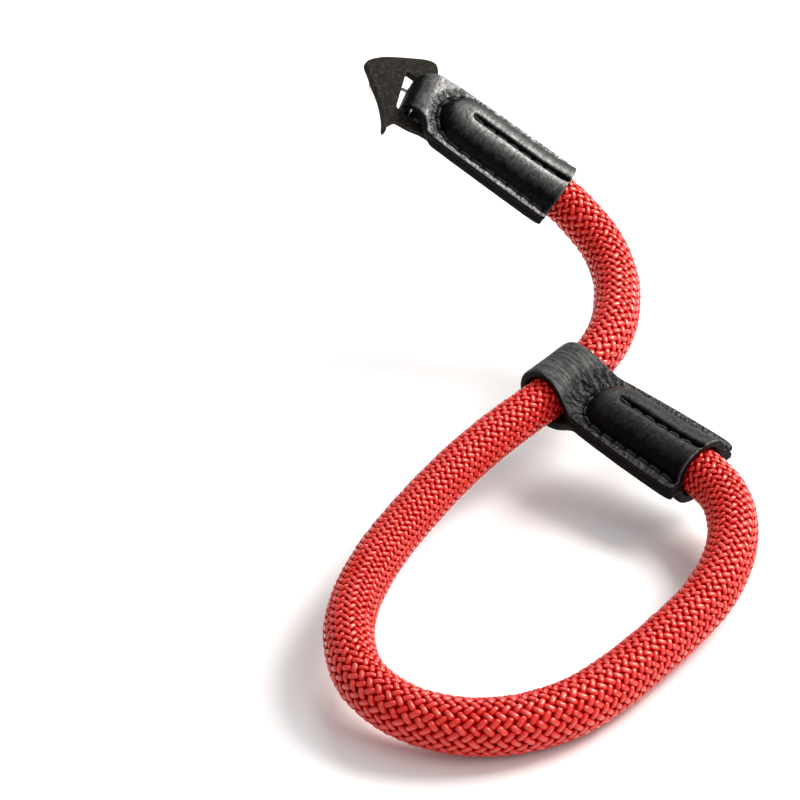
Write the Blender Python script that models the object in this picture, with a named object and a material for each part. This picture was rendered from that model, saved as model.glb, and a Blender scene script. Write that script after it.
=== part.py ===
"""Camera wrist strap: a braided rope loop, two sewn leather tabs, a metal ring and a suede guard flap.

Metres, +Z up. The origin is where the strap hangs: the inside of the ring's far end, at the lug.
The first tab runs down from the ring, and the rope's loop lies below it, toward -Y.
"""
import math
from collections import namedtuple

import bmesh
import bpy
import numpy as np
from mathutils import Matrix, Vector

MM = 0.001

# Clearance between pieces that touch, and between two layers of one strip
FIT = 0.0003

# Rope
ROPE_D = 0.0093
SEWN_ROPE_D = 0.0072
ROPE_LIFT = 0.00025
MOUTH_SWELL = 0.99
EYE_SWELL = 0.94
ROPE_POINTS = 66

# Leather of the tabs: the flat strip, and where it is stretched over the rope
LEATHER = 0.0015
PUFF_WALL = 0.0013
STITCH_DIP_OUT = 0.0009
STITCH_DIP_IN = 0.0003

# Room round the rope in a sleeve: beside, above and below it, then the same at the mouth
SIDE_EASE = 0.0013
TOP_EASE = 0.0006
UNDER_EASE = 0.00055
MOUTH_SIDE_EASE = 0.00055
MOUTH_TOP_EASE = 0.00035
MOUTH_UNDER_EASE = 0.00038

# Shape of the puffed part: how full its section is, and its least width where it dies out
SLEEVE_POWER = 0.6
MOUTH_POWER = 0.45
LEAST_FOOT = 0.3
UNDER_END = 0.0040
LOOP_STEP = 0.0018

# Tab at the camera: it folds round the ring's bar and holds the rope's first end
CAMERA_TAB_ALONG = (0.7959, -0.2371, -0.5571)
CAMERA_TAB_FACE = (0.3929, -0.4977, 0.7732)
CAMERA_TAB_REACH = 0.0352
CAMERA_TAB_WIDTH = 0.0163
CAMERA_ROOT_WIDTH = 0.0154
CAMERA_FOLD_WIDTH = 0.0050
CAMERA_SEAM_RISE = 0.0053
CAMERA_ROPE_INSET = 0.0245
CAMERA_PUFF_LENGTH = 0.0299
CAMERA_FOLD_SKEW = -0.15
CAMERA_FOLD_SHIFT = 0.0010

# Tab that slides on the rope: it folds round the rope and holds the rope's second end
SLIDER_EYE_AT = (0.03484, -0.06220, -0.03815)
SLIDER_TAB_ALONG = (0.6608, -0.7349, -0.1523)
SLIDER_TAB_FACE = (0.0076, -0.1964, 0.9805)
SLIDER_TAB_REACH = 0.0353
SLIDER_TAB_WIDTH = 0.0174
SLIDER_ROOT_WIDTH = 0.0150
SLIDER_EYE_WIDTH = 0.0108
SLIDER_SEAM_RISE = 0.0007
SLIDER_ROPE_INSET = 0.0210
SLIDER_PUFF_LENGTH = 0.0267
SLIDER_EYE_LEAN = 0.095
EYE_EASE = 0.0005
EYE_SQUASH = 0.95

# Ring
RING_WIRE_D = 0.0012
RING_DROP = 0.0096
RING_RISE = 0.0007
RING_WIDTH = 0.0084
RING_APEX_SHIFT = 0.00064

# Guard flap
FLAP_LENGTH = 0.0210
FLAP_WIDTH = 0.0237
FLAP_THICK = 0.0015
FLAP_LIFT = 0.0009
FLAP_MIDDLE = (-0.00260, 0.00127)
SLOT_EASE = 0.0009
SLOT_LEG_EASE = 0.0006
SLOT_NEAR_EASE = 0.0007
SLOT_FAR_EASE = 0.00155
SLOT_GAPE = 0.0009
SLOT_PINCH = 0.0002
SLOT_ROUND = 0.0008

# The rope between the two mouths, in mm from the mount
ROPE_ROUTE = (
    (40.2, -15.6, -22.3), (45.6, -21.2, -27.5), (47.8, -29.6, -31.0), (47.4, -38.8, -32.8),
    (45.4, -48.0, -34.1), (41.2, -56.2, -35.9), (34.5, -62.5, -38.3), (27.6, -68.7, -39.9),
    (21.2, -75.6, -40.8), (15.3, -83.0, -41.6), (9.9, -90.8, -42.5), (5.0, -98.8, -43.3),
    (0.6, -107.2, -43.8), (-3.0, -115.9, -44.2), (-5.6, -125.0, -44.6), (-6.4, -134.4, -45.4),
    (-4.2, -143.5, -46.6), (2.2, -150.2, -48.0), (11.0, -153.3, -49.0), (20.4, -152.7, -49.5),
    (29.1, -148.9, -49.7), (36.3, -142.9, -49.7), (42.8, -135.9, -49.5), (48.9, -128.7, -49.1),
    (54.7, -121.2, -48.4), (59.2, -113.0, -47.2), (61.8, -104.1, -45.6), (61.4, -94.9, -43.9),
)

# The rope's thickness: columns are the share of its length and the share of ROPE_D
ROPE_SWELL = (
    (0.080, MOUTH_SWELL), (0.118, 1.01), (0.198, 1.02), (0.235, 0.98), (0.262, EYE_SWELL),
    (0.300, 0.92), (0.360, 0.93), (0.560, 0.94), (0.598, 0.97), (0.640, 1.01), (0.681, 1.04),
    (0.720, 1.02), (0.761, 0.99), (0.800, 0.98), (0.883, 0.98), (0.928, MOUTH_SWELL),
)

# A sleeve from its mouth to where its round end starts: columns are the share of that length,
# the flare toward the mouth, the share of the width, and the depth of the stitched valley
SLEEVE_ROWS = (
    (0.00, 1.00, 0.955, 0.30), (0.04, 0.85, 0.99, 0.60), (0.10, 0.62, 1.00, 0.85),
    (0.20, 0.30, 1.00, 1.00), (0.34, 0.00, 1.00, 1.00), (0.60, 0.00, 1.00, 1.00),
    (0.90, 0.00, 1.00, 1.00), (0.97, 0.00, 1.00, 0.60), (1.00, 0.00, 1.00, 0.00),
)
ROUND_END_DEGREES = (20, 38, 55, 70, 82, 90)

# The neck of the camera tab: columns are the share of the run from the loop to the sleeve,
# the share of the rise between them, and how much of the narrowing and of the slant is left
CAMERA_UNDER_NECK = (
    (0.00, 0.16, 0.92, 1.00), (0.02, 0.39, 0.79, 1.00), (0.11, 0.67, 0.67, 0.95),
    (0.26, 0.88, 0.52, 0.66), (0.46, 0.98, 0.36, 0.38), (0.74, 1.00, 0.15, 0.10),
)
CAMERA_OVER_NECK = (
    (0.00, 0.22, 0.90, 1.00), (0.00, 0.43, 0.77, 1.00), (0.03, 0.69, 0.69, 1.00),
    (0.14, 0.91, 0.61, 1.00), (0.33, 1.05, 0.49, 1.00), (0.56, 1.13, 0.37, 0.85),
    (0.80, 1.06, 0.21, 0.48),
)

# The neck of the sliding tab, with the same columns
SLIDER_UNDER_NECK = (
    (0.16, 0.03, 0.98, 0.98), (0.33, 0.15, 0.93, 0.93), (0.52, 0.41, 0.78, 0.78),
    (0.70, 0.71, 0.42, 0.42), (0.87, 0.93, 0.12, 0.12),
)
SLIDER_OVER_NECK = (
    (0.23, 0.08, 0.95, 0.95), (0.48, 0.33, 0.76, 0.76), (0.70, 0.66, 0.48, 0.48),
    (0.89, 0.91, 0.20, 0.20),
)

# Across a strip from its middle to the foot of the puffed part: share of the half-width there,
# and the share of the valley's depth
PUFF_COLUMNS = (
    (0.00, 1.00), (0.08, 0.90), (0.20, 0.00), (0.42, 0.00), (0.65, 0.00), (0.84, 0.00),
    (0.95, 0.00), (1.00, 0.00),
)
FLANGE_SHARES = (0.5, 1.0)

# The flap's outline: shares of its length and of its width, from its middle
FLAP_OUTLINE = (
    (-0.500, 0.030), (-0.492, 0.074), (-0.459, 0.129), (-0.394, 0.206), (-0.274, 0.305),
    (-0.162, 0.387), (-0.060, 0.459), (0.017, 0.496), (0.077, 0.499), (0.123, 0.459),
    (0.154, 0.407), (0.245, 0.234), (0.347, 0.060), (0.429, -0.083), (0.490, -0.185),
    (0.500, -0.226), (0.480, -0.251), (0.429, -0.251), (0.347, -0.259), (0.266, -0.282),
    (0.184, -0.299), (0.123, -0.305), (0.077, -0.318), (0.047, -0.369), (0.033, -0.420),
    (0.050, -0.469), (0.042, -0.499), (0.017, -0.479), (-0.011, -0.428), (-0.052, -0.369),
    (-0.141, -0.270), (-0.253, -0.175), (-0.350, -0.101), (-0.416, -0.048), (-0.467, -0.010),
)

# The ring from its bar to its apex: share of the drop and share of the half-width
RING_SIDE = ((0.00, 0.77), (0.03, 0.93), (0.11, 1.00), (0.31, 0.97), (0.52, 0.80), (0.76, 0.50),
             (0.92, 0.22))

Tab = namedtuple("Tab", "reach mouth root loop rise radius squash start under over puff skew shift lean")
Station = namedtuple("Station", "x z half flare puff valley twist")


def clear_scene():
    for thing in list(bpy.data.objects):
        bpy.data.objects.remove(thing, do_unlink=True)


def material(name, color, roughness, metallic=0.0):
    made = bpy.data.materials.new(name)
    made.use_nodes = True
    shader = made.node_tree.nodes["Principled BSDF"]
    shader.inputs["Base Color"].default_value = (*color, 1.0)
    shader.inputs["Roughness"].default_value = roughness
    shader.inputs["Metallic"].default_value = metallic
    return made


def add_object(data, slot, collection, parent=None, at=(0.0, 0.0, 0.0)):
    data.materials.append(slot)
    made = bpy.data.objects.new(data.name, data)
    collection.objects.link(made)
    made.parent = parent
    made.location = at
    return made


def tab_axes(along, face):
    """Axes with X toward a sleeve's mouth and Z out of the tab's top face."""
    x = Vector(along).normalized()
    z = Vector(face)
    z = (z - x * z.dot(x)).normalized()
    return Matrix((x, z.cross(x), z)).transposed().to_4x4()


def add_frame(name, placed, collection):
    frame = bpy.data.objects.new(name, None)
    frame.matrix_world = placed
    collection.objects.link(frame)
    return frame


def smooth_curve(points, steps, closed=False):
    """Points on a smooth curve through the given ones, `steps` to each span."""
    given = np.array(points, dtype=float)
    if closed:
        given = np.vstack((given[-1], given, given[:2]))
    else:
        given = np.vstack((2 * given[0] - given[1], given, 2 * given[-1] - given[-2]))
    curve = []
    for before, start, end, after in zip(given, given[1:], given[2:], given[3:]):
        span = np.linalg.norm(end - start)
        leave = (end - before) * span / (span + np.linalg.norm(start - before))
        arrive = (after - start) * span / (span + np.linalg.norm(after - end))
        for t in np.arange(steps) / steps:
            curve.append((1 - 3 * t**2 + 2 * t**3) * start + (t - 2 * t**2 + t**3) * leave
                         + (3 * t**2 - 2 * t**3) * end + (t**3 - t**2) * arrive)
    if not closed:
        curve.append(given[-2])
    return np.array(curve)


def run_along(points):
    steps = np.linalg.norm(np.diff(points, axis=0), axis=1)
    return np.concatenate(([0.0], np.cumsum(steps)))


def rounded(corners, radius, steps=3):
    """A closed outline with its corners rounded off."""
    made = []
    for i, corner in enumerate(corners):
        here = Vector(corner)
        before, after = Vector(corners[i - 1]), Vector(corners[(i + 1) % len(corners)])
        start = here + (before - here).normalized() * radius
        end = here + (after - here).normalized() * radius
        for t in np.arange(steps + 1) / steps:
            made.append(start.lerp(here, t).lerp(here.lerp(end, t), t))
    return made


def tube(name, points, radii, closed, resolution):
    """A round tube along a polyline, with a radius of its own at each point."""
    data = bpy.data.curves.new(name, "CURVE")
    data.dimensions = "3D"
    data.bevel_depth = 1.0
    data.bevel_resolution = resolution
    data.use_fill_caps = not closed
    spline = data.splines.new("POLY")
    spline.points.add(len(points) - 1)
    spline.use_cyclic_u = closed
    for made, at, radius in zip(spline.points, points, radii):
        made.co = (*at, 1.0)
        made.radius = radius
    return data


def sleeve_sizes(flare, top):
    """Half-width of the room for the rope, and its height from the seam."""
    sewn = SEWN_ROPE_D / 2
    free = MOUTH_SWELL * ROPE_D / 2
    lift = ROPE_LIFT if top else -ROPE_LIFT
    ease, mouth_ease = (TOP_EASE, MOUTH_TOP_EASE) if top else (UNDER_EASE, MOUTH_UNDER_EASE)
    half = sewn + SIDE_EASE + flare * (free + MOUTH_SIDE_EASE - sewn - SIDE_EASE)
    height = sewn + lift + ease + flare * (free + mouth_ease - sewn - ease)
    return half, height


def round_end():
    """Radius of the puffed part's round end, which is also its half-width."""
    return sleeve_sizes(0.0, top=True)[0] + PUFF_WALL


def sleeve_stations(tab, top):
    """Stations of one layer from the mouth to where the puffed part ends."""
    layer = (LEATHER + FIT) / 2
    z = tab.rise + (layer if top else -layer)
    straight = tab.puff - round_end()
    end = round_end() if top else UNDER_END
    rows = [(share * straight, flare, width, 1.0, valley if top else 0.0)
            for share, flare, width, valley in SLEEVE_ROWS]
    for degrees in ROUND_END_DEGREES:
        angle = math.radians(degrees)
        inset = straight + end * math.sin(angle)
        rows.append((inset, 0.0, 1.0, math.cos(angle), 0.0))
    made = []
    for inset, flare, width, puff, valley in rows:
        narrowing = (tab.mouth - tab.root) * (inset / tab.puff) ** 2
        half = width * (tab.mouth - narrowing) / 2
        made.append(Station(tab.reach - inset, z, half, flare, puff, valley, 0.0))
    return made


def neck_stations(tab, rows, loop_end, sleeve_end):
    """Stations of one layer between the loop and the sleeve, where the strip narrows."""
    made = []
    for run, rise, narrow, slant in rows:
        x = loop_end.x + run * (sleeve_end.x - loop_end.x)
        z = loop_end.z + rise * (sleeve_end.z - loop_end.z)
        half = (tab.root + narrow * (tab.loop - tab.root)) / 2
        made.append(Station(x, z, half, 0.0, 0.0, 0.0, slant))
    return made


def loop_stations(tab):
    """Stations round the bar or the rope that the strip folds over."""
    steps = max(6, round(math.pi * tab.radius / LOOP_STEP))
    made = []
    for step in range(steps + 1):
        angle = math.radians(tab.start) - math.pi * step / steps
        lower = tab.squash if math.sin(angle) < 0.0 else 1.0
        at = (tab.radius * math.cos(angle), tab.radius * lower * math.sin(angle))
        made.append(Station(*at, tab.loop / 2, 0.0, 0.0, 0.0, 1.0))
    return made


def strip_stations(tab):
    """Stations from the under layer's mouth, round the loop, back to the top layer's mouth."""
    under = sleeve_stations(tab, top=False)
    over = sleeve_stations(tab, top=True)
    loop = loop_stations(tab)
    under_neck = neck_stations(tab, tab.under, loop[0], under[-1])
    over_neck = neck_stations(tab, tab.over, loop[-1], over[-1])
    return under + under_neck[::-1] + loop + over_neck + over[::-1], len(under)


def section(tab, station, outward, top):
    """One station's outer and inner row of points, from one side edge to the other."""
    half_in, height_in = sleeve_sizes(station.flare, top)
    foot = max(station.puff, LEAST_FOOT)
    power = SLEEVE_POWER + station.flare * (MOUTH_POWER - SLEEVE_POWER)
    columns = [(share * foot, (1 - share * share) ** power, dip, 0.0)
               for share, dip in PUFF_COLUMNS]
    columns += [(foot, 0.0, 0.0, flange) for flange in FLANGE_SHARES]
    seam_side = height_in - FIT / 2
    faces = ((half_in + PUFF_WALL, seam_side + PUFF_WALL - LEATHER, STITCH_DIP_OUT, LEATHER / 2),
             (half_in, seam_side, STITCH_DIP_IN, -LEATHER / 2))
    rows = []
    for half, height, dip_depth, offset in faces:
        row = []
        for across, profile, dip, flange in columns:
            y = across * half
            y += flange * (station.half - y)
            out = offset + height * station.puff * profile - dip_depth * dip * station.valley
            row.append((y, out))
        both = [(-y, out) for y, out in row[:0:-1]] + row
        rows.append([(station.x + tab.skew * station.twist * y + out * outward[0],
                      y + tab.shift * station.twist,
                      station.z + tab.lean * station.twist * y + out * outward[1])
                     for y, out in both])
    return rows


def leather_strip(name, tab):
    """A folded strip as one closed solid, lofted through its stations."""
    stations, under_count = strip_stations(tab)
    path = np.array([(station.x, station.z) for station in stations])
    tangents = np.gradient(path, axis=0)
    mesh = bmesh.new()
    grid = []
    for i, station in enumerate(stations):
        top = i >= under_count
        run = tangents[i] / np.linalg.norm(tangents[i])
        if station.twist == 0.0:
            run = (1.0, 0.0) if top else (-1.0, 0.0)
        outer, inner = section(tab, station, (-run[1], run[0]), top)
        grid.append(([mesh.verts.new(p) for p in outer], [mesh.verts.new(p) for p in inner]))
    for (outer, inner), (next_outer, next_inner) in zip(grid, grid[1:]):
        for j in range(len(outer) - 1):
            mesh.faces.new((outer[j], next_outer[j], next_outer[j + 1], outer[j + 1]))
            mesh.faces.new((inner[j + 1], next_inner[j + 1], next_inner[j], inner[j]))
        mesh.faces.new((inner[0], next_inner[0], next_outer[0], outer[0]))
        mesh.faces.new((outer[-1], next_outer[-1], next_inner[-1], inner[-1]))
    for outer, inner in (grid[0], grid[-1][::-1]):
        for j in range(len(outer) - 1):
            mesh.faces.new((outer[j], outer[j + 1], inner[j + 1], inner[j]))
    bmesh.ops.recalc_face_normals(mesh, faces=mesh.faces)
    data = bpy.data.meshes.new(name)
    mesh.to_mesh(data)
    mesh.free()
    data.shade_smooth()
    data.set_sharp_from_angle(angle=math.radians(35))
    return data


def sewn_radius(inset, tab):
    """The rope's radius inside a sleeve, squeezed as the sleeve narrows from its mouth."""
    straight = tab.puff - round_end()
    insets = [row[0] * straight for row in SLEEVE_ROWS]
    flare = np.interp(inset, insets, [row[1] for row in SLEEVE_ROWS])
    return SEWN_ROPE_D / 2 + flare * (MOUTH_SWELL * ROPE_D - SEWN_ROPE_D) / 2


def in_sleeve(placed, tab, depth):
    """Points on a sleeve's axis, from the rope's end inside it to just short of its mouth."""
    return [placed @ Vector((tab.reach - share * depth, 0.0, tab.rise + ROPE_LIFT))
            for share in (1.0, 0.75, 0.5, 0.25, 0.05)]


def rope_tube(camera_placed, camera_tab, slider_placed, slider_tab):
    """The rope: from one sleeve, along its route through the sliding eye, into the other."""
    start = in_sleeve(camera_placed, camera_tab, CAMERA_ROPE_INSET)
    end = in_sleeve(slider_placed, slider_tab, SLIDER_ROPE_INSET)
    free = [[MM * value for value in point] for point in ROPE_ROUTE]
    curve = smooth_curve(start + free + end[::-1], 12)
    run = run_along(curve)
    wanted = np.linspace(0.0, run[-1], ROPE_POINTS)
    points = np.column_stack([np.interp(wanted, run, curve[:, k]) for k in range(3)])
    shares = [row[0] for row in ROPE_SWELL]
    swells = [row[1] for row in ROPE_SWELL]
    radii = []
    for at in wanted:
        to_end = run[-1] - at
        if at < CAMERA_ROPE_INSET:
            radii.append(sewn_radius(CAMERA_ROPE_INSET - at, camera_tab))
        elif to_end < SLIDER_ROPE_INSET:
            radii.append(sewn_radius(SLIDER_ROPE_INSET - to_end, slider_tab))
        else:
            radii.append(np.interp(at / run[-1], shares, swells) * ROPE_D / 2)
    return tube("rope", points, radii, closed=False, resolution=4)


def ring_wire():
    """The ring in its own plane: a bar at x = 0 through the fold, and two sides to the apex."""
    half = (RING_WIDTH - RING_WIRE_D) / 2
    side = [(share * RING_DROP, width * half) for share, width in RING_SIDE]
    outline = side + [(RING_DROP, 0.0)] + [(x, -y) for x, y in side[::-1]]
    points = []
    for x, y in smooth_curve(outline, 3, closed=True):
        share = x / RING_DROP
        skew = CAMERA_FOLD_SKEW * y * (1 - share)
        across = y + CAMERA_FOLD_SHIFT * (1 - share) + RING_APEX_SHIFT * share
        points.append((skew - x, across, -RING_RISE * share))
    return tube("lug_ring", points, [RING_WIRE_D / 2] * len(points), closed=True, resolution=2)


def slot_corners(tab):
    """The slot in the flap, round both legs of the folded tab."""
    wall = LEATHER / 2
    sleeve_end = sleeve_stations(tab, top=False)[-1]
    leg = neck_stations(tab, tab.under, loop_stations(tab)[0], sleeve_end)
    rises = [row.z for row in leg]
    leg_at = np.interp(FLAP_LIFT + FLAP_THICK, rises, [row.x for row in leg])
    leg_half = np.interp(FLAP_LIFT + FLAP_THICK, rises, [row.half for row in leg])
    away = tab.shift + leg_half + SLOT_FAR_EASE
    near = tab.shift - leg_half - SLOT_NEAR_EASE
    right = leg_at + wall + SLOT_LEG_EASE
    left = -tab.radius - wall - SLOT_EASE
    return ((left + tab.skew * near + SLOT_PINCH, near), (right + tab.skew * near, near),
            (right + tab.skew * away, away), (left + tab.skew * away - SLOT_GAPE, away))


def flap_plate(tab):
    """The flap: a flat outline with a slanting slot for the folded tab."""
    data = bpy.data.curves.new("guard_flap", "CURVE")
    data.dimensions = "2D"
    data.fill_mode = "BOTH"
    data.extrude = FLAP_THICK / 2
    middle = np.array(FLAP_MIDDLE)
    corners = [(x * FLAP_LENGTH, y * FLAP_WIDTH) for x, y in FLAP_OUTLINE]
    outline = smooth_curve(corners, 2, closed=True) + middle
    for points in (outline, rounded(slot_corners(tab), SLOT_ROUND)):
        spline = data.splines.new("POLY")
        spline.points.add(len(points) - 1)
        spline.use_cyclic_u = True
        for made, at in zip(spline.points, points):
            made.co = (*at, 0.0, 1.0)
    return data


def main():
    clear_scene()
    parts = bpy.data.collections.new("camera_wrist_strap")
    bpy.context.scene.collection.children.link(parts)
    leather = material("black_leather", (0.018, 0.018, 0.019), 0.42)
    suede = material("dark_suede", (0.035, 0.030, 0.026), 0.95)
    metal = material("ring_steel", (0.62, 0.62, 0.63), 0.28, 1.0)
    braid = material("red_rope", (0.72, 0.035, 0.022), 0.55)

    camera_tab = Tab(reach=CAMERA_TAB_REACH, mouth=CAMERA_TAB_WIDTH, root=CAMERA_ROOT_WIDTH,
                     loop=CAMERA_FOLD_WIDTH, rise=CAMERA_SEAM_RISE,
                     radius=RING_WIRE_D / 2 + FIT + LEATHER / 2, squash=1.0, start=0.0,
                     under=CAMERA_UNDER_NECK, over=CAMERA_OVER_NECK,
                     puff=CAMERA_PUFF_LENGTH, skew=CAMERA_FOLD_SKEW,
                     shift=CAMERA_FOLD_SHIFT, lean=0.0)
    slider_tab = Tab(reach=SLIDER_TAB_REACH, mouth=SLIDER_TAB_WIDTH, root=SLIDER_ROOT_WIDTH,
                     loop=SLIDER_EYE_WIDTH, rise=SLIDER_SEAM_RISE,
                     radius=EYE_SWELL * ROPE_D / 2 + EYE_EASE + LEATHER / 2,
                     squash=EYE_SQUASH, start=-90.0, under=SLIDER_UNDER_NECK,
                     over=SLIDER_OVER_NECK,
                     puff=SLIDER_PUFF_LENGTH, skew=0.0, shift=0.0, lean=SLIDER_EYE_LEAN)

    camera_axes = tab_axes(CAMERA_TAB_ALONG, CAMERA_TAB_FACE)
    bar_at = Vector((RING_DROP - RING_WIRE_D / 2, -RING_APEX_SHIFT, RING_RISE))
    camera_placed = camera_axes @ Matrix.Translation(bar_at)
    slider_axes = tab_axes(SLIDER_TAB_ALONG, SLIDER_TAB_FACE)
    slider_placed = Matrix.Translation(SLIDER_EYE_AT) @ slider_axes
    camera_frame = add_frame("ring_bar", camera_placed, parts)
    slider_frame = add_frame("sliding_eye", slider_placed, parts)

    add_object(leather_strip("camera_tab", camera_tab), leather, parts, camera_frame)
    add_object(ring_wire(), metal, parts, camera_frame)
    flap_middle = (0.0, 0.0, FLAP_LIFT + FLAP_THICK / 2)
    add_object(flap_plate(camera_tab), suede, parts, camera_frame, flap_middle)
    add_object(leather_strip("slider_tab", slider_tab), leather, parts, slider_frame)
    rope = rope_tube(camera_placed, camera_tab, slider_placed, slider_tab)
    add_object(rope, braid, parts)


main()
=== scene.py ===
"""Camera wrist strap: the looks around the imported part, in the same frame (metres, +Z up)."""
import math
from collections import namedtuple

import bmesh
import bpy
import numpy as np
from mathutils import Matrix, Vector, noise
from mathutils.bvhtree import BVHTree


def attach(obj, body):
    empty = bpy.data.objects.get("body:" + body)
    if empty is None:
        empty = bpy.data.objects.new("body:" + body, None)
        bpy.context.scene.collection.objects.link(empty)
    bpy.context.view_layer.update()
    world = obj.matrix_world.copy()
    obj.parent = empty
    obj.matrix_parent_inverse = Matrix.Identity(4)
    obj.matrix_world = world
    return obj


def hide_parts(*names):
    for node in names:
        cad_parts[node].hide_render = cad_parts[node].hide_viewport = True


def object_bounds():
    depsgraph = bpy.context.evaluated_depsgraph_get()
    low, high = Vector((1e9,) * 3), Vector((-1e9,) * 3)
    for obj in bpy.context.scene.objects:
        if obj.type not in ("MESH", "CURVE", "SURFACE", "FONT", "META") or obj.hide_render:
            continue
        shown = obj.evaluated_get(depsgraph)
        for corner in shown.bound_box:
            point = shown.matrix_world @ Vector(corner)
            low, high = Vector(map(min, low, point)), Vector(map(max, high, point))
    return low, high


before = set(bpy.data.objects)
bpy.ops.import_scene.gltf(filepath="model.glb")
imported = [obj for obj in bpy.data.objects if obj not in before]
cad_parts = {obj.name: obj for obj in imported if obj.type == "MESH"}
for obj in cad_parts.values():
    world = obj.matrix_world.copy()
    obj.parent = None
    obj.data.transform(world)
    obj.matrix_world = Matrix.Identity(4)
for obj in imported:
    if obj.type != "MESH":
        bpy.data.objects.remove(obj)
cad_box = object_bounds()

MM = 0.001

# The part's own named sizes, as its source has them
FIT = 0.0003
ROPE_D = 0.0093
SEWN_ROPE_D = 0.0072
ROPE_LIFT = 0.00025
MOUTH_SWELL = 0.99
EYE_SWELL = 0.94
LEATHER = 0.0015
PUFF_WALL = 0.0013
SIDE_EASE = 0.0013
TOP_EASE = 0.0006
UNDER_EASE = 0.00055
MOUTH_SIDE_EASE = 0.00055
MOUTH_TOP_EASE = 0.00035
MOUTH_UNDER_EASE = 0.00038
SLEEVE_POWER = 0.6
MOUTH_POWER = 0.45
LEAST_FOOT = 0.3
UNDER_END = 0.0040
LOOP_STEP = 0.0018

CAMERA_TAB_ALONG = (0.7959, -0.2371, -0.5571)
CAMERA_TAB_FACE = (0.3929, -0.4977, 0.7732)
CAMERA_TAB_REACH = 0.0352
CAMERA_TAB_WIDTH = 0.0163
CAMERA_ROOT_WIDTH = 0.0154
CAMERA_FOLD_WIDTH = 0.0050
CAMERA_SEAM_RISE = 0.0053
CAMERA_ROPE_INSET = 0.0245
CAMERA_PUFF_LENGTH = 0.0299
CAMERA_FOLD_SKEW = -0.15
CAMERA_FOLD_SHIFT = 0.0010

SLIDER_EYE_AT = (0.03484, -0.06220, -0.03815)
SLIDER_TAB_ALONG = (0.6608, -0.7349, -0.1523)
SLIDER_TAB_FACE = (0.0076, -0.1964, 0.9805)
SLIDER_TAB_REACH = 0.0353
SLIDER_TAB_WIDTH = 0.0174
SLIDER_ROOT_WIDTH = 0.0150
SLIDER_EYE_WIDTH = 0.0108
SLIDER_SEAM_RISE = 0.0007
SLIDER_ROPE_INSET = 0.0210
SLIDER_PUFF_LENGTH = 0.0267
SLIDER_EYE_LEAN = 0.095
EYE_EASE = 0.0005
EYE_SQUASH = 0.95

RING_WIRE_D = 0.0012
RING_DROP = 0.0096
RING_RISE = 0.0007
RING_WIDTH = 0.0084
RING_APEX_SHIFT = 0.00064

FLAP_LENGTH = 0.0210
FLAP_WIDTH = 0.0237
FLAP_THICK = 0.0015
FLAP_LIFT = 0.0009
FLAP_MIDDLE = (-0.00260, 0.00127)
SLOT_FAR_EASE = 0.00155
SLOT_EASE = 0.0009
SLOT_GAPE = 0.0009
SLOT_PINCH = 0.0002
SLOT_ROUND = 0.0008

# On the two sides that the photo shows, the flap comes closer to the leather than in the solids
SLOT_SEEN_EASE = 0.0002

# The rope between the two mouths, in mm from the mount
ROPE_ROUTE = (
    (40.2, -15.6, -22.3), (45.6, -21.2, -27.5), (47.8, -29.6, -31.0), (47.4, -38.8, -32.8),
    (45.4, -48.0, -34.1), (41.2, -56.2, -35.9), (34.5, -62.5, -38.3), (27.6, -68.7, -39.9),
    (21.2, -75.6, -40.8), (15.3, -83.0, -41.6), (9.9, -90.8, -42.5), (5.0, -98.8, -43.3),
    (0.6, -107.2, -43.8), (-3.0, -115.9, -44.2), (-5.6, -125.0, -44.6), (-6.4, -134.4, -45.4),
    (-4.2, -143.5, -46.6), (2.2, -150.2, -48.0), (11.0, -153.3, -49.0), (20.4, -152.7, -49.5),
    (29.1, -148.9, -49.7), (36.3, -142.9, -49.7), (42.8, -135.9, -49.5), (48.9, -128.7, -49.1),
    (54.7, -121.2, -48.4), (59.2, -113.0, -47.2), (61.8, -104.1, -45.6), (61.4, -94.9, -43.9),
)

# The rope's thickness: columns are the share of its length and the share of ROPE_D
ROPE_SWELL = (
    (0.080, MOUTH_SWELL), (0.118, 1.01), (0.198, 1.02), (0.235, 0.98), (0.262, EYE_SWELL),
    (0.300, 0.92), (0.360, 0.93), (0.560, 0.94), (0.598, 0.97), (0.640, 1.01), (0.681, 1.04),
    (0.720, 1.02), (0.761, 0.99), (0.800, 0.98), (0.883, 0.98), (0.928, MOUTH_SWELL),
)

# A sleeve from its mouth to where its round end starts: share of that length, flare, width
SLEEVE_ROWS = (
    (0.00, 1.00, 0.955), (0.04, 0.85, 0.99), (0.10, 0.62, 1.00), (0.20, 0.30, 1.00),
    (0.34, 0.00, 1.00), (0.60, 0.00, 1.00), (0.90, 0.00, 1.00), (0.97, 0.00, 1.00),
    (1.00, 0.00, 1.00),
)
ROUND_END_DEGREES = (20, 38, 55, 70, 82, 90)

# Necks: share of the run, share of the rise, how much of the narrowing and of the slant is left
CAMERA_UNDER_NECK = (
    (0.00, 0.16, 0.92, 1.00), (0.02, 0.39, 0.79, 1.00), (0.11, 0.67, 0.67, 0.95),
    (0.26, 0.88, 0.52, 0.66), (0.46, 0.98, 0.36, 0.38), (0.74, 1.00, 0.15, 0.10),
)
CAMERA_OVER_NECK = (
    (0.00, 0.22, 0.90, 1.00), (0.00, 0.43, 0.77, 1.00), (0.03, 0.69, 0.69, 1.00),
    (0.14, 0.91, 0.61, 1.00), (0.33, 1.05, 0.49, 1.00), (0.56, 1.13, 0.37, 0.85),
    (0.80, 1.06, 0.21, 0.48),
)
SLIDER_UNDER_NECK = (
    (0.16, 0.03, 0.98, 0.98), (0.33, 0.15, 0.93, 0.93), (0.52, 0.41, 0.78, 0.78),
    (0.70, 0.71, 0.42, 0.42), (0.87, 0.93, 0.12, 0.12),
)
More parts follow.
